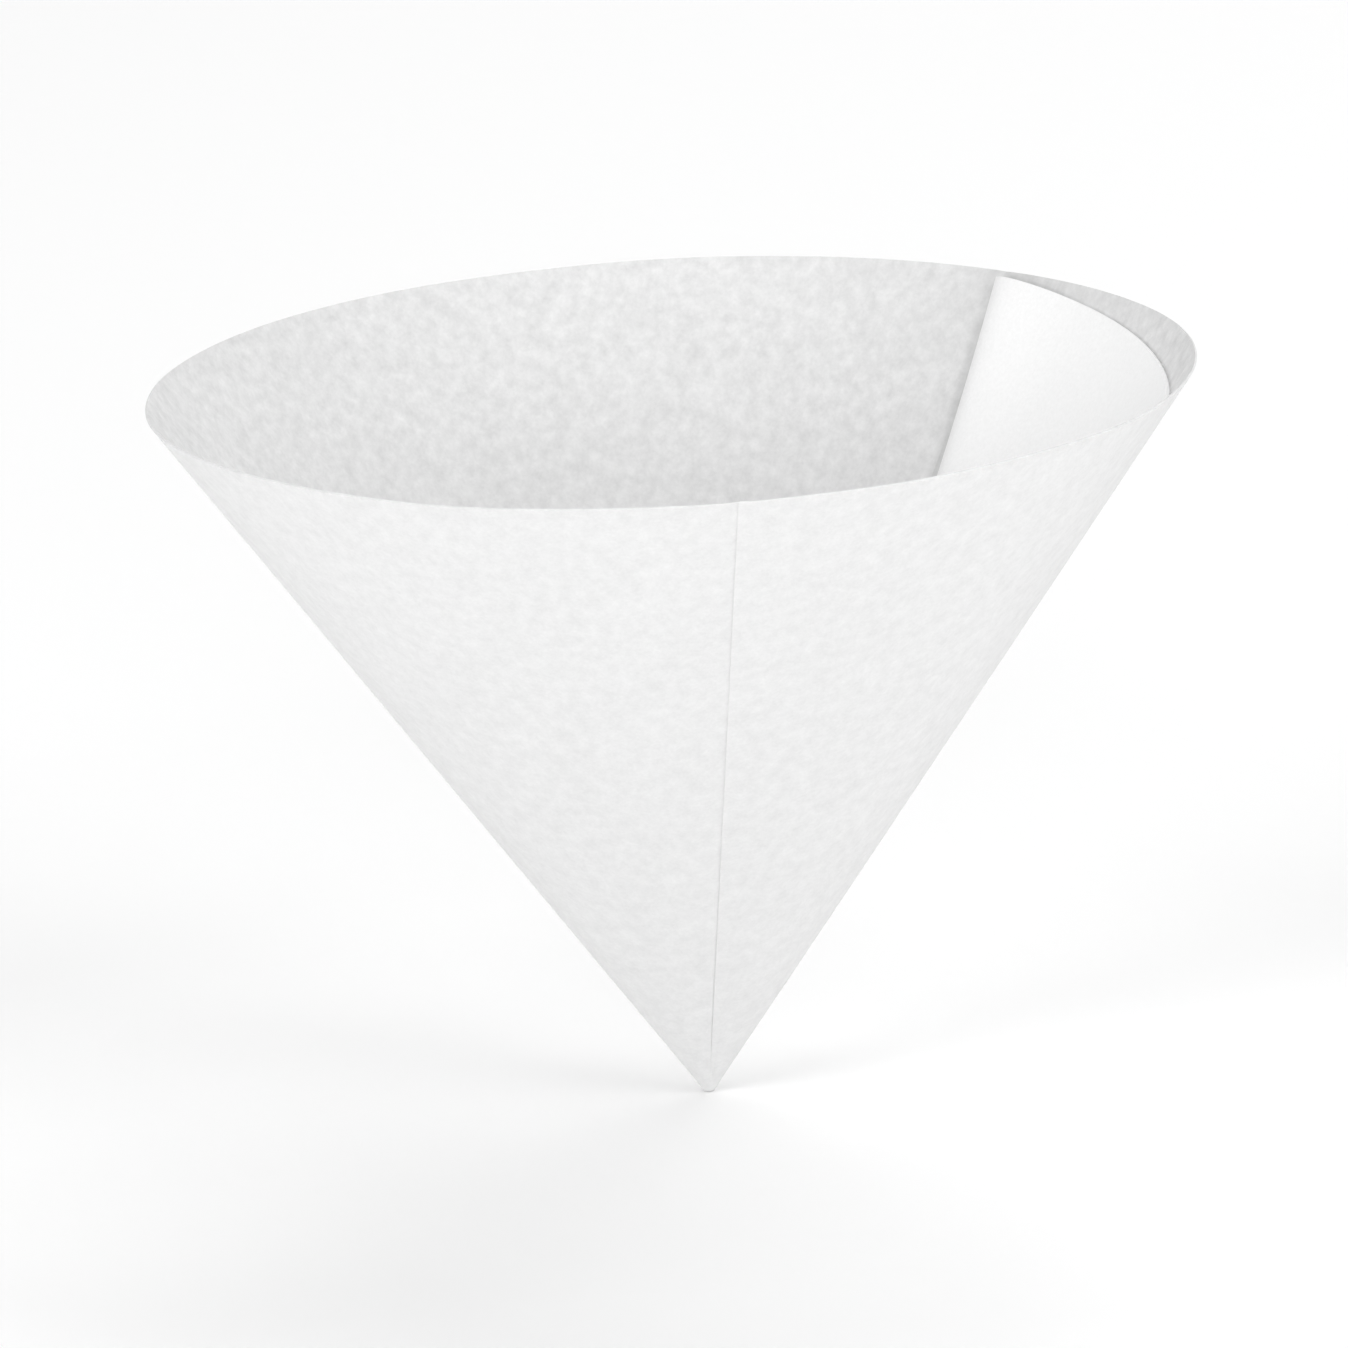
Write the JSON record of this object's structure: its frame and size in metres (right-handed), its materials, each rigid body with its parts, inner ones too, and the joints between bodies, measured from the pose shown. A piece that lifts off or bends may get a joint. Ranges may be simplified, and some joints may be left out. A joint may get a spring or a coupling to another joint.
{
  "type": "laboratory filter paper",
  "caption": "Round filter paper folded twice and opened into a pleated cone that lines a laboratory funnel.",
  "frame": {"origin": "outside of the cone's tip, where it sits lowest in a funnel", "axes": "+Z along the cone's axis from the tip to the mouth, the way the paper lifts out; +X to the side that holds the pleat; the cone is seen from -Y"},
  "size_m": [0.0863, 0.0863, 0.0614],
  "materials": {
    "filter_paper": "matte uncoated cotton-fibre paper"
  },
  "bodies": {
    "root": {"filter_paper": "filter_paper"}
  },
  "joints": []
}
